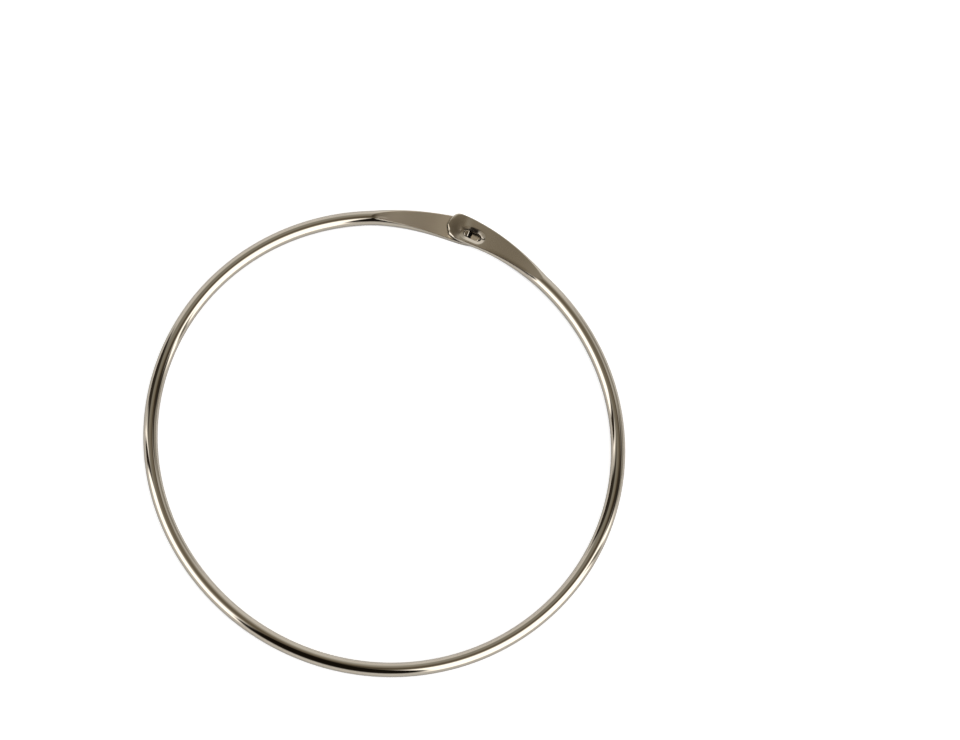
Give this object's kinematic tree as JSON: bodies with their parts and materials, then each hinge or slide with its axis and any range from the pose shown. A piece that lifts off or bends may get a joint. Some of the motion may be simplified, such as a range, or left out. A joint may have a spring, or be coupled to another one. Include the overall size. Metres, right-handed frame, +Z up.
{
  "type": "spring key ring",
  "caption": "Large jailer's-style key ring: a spring wire circle whose flattened ends lap, closed by a tongue that stands in a slotted eye.",
  "frame": {"origin": "centre of the ring's wire circle, on the plane that the wire rests on", "axes": "+Z is up, out of the plane that the ring lies on; +Y runs from the centre through the clasp's eye; +X is to the right, where the upper flat end comes from"},
  "size_m": [0.108, 0.1103, 0.0032],
  "materials": {
    "nickel_plate": "bright nickel plate over steel wire, finely worn"
  },
  "bodies": {
    "root": {"key_ring": "nickel_plate"}
  },
  "joints": []
}
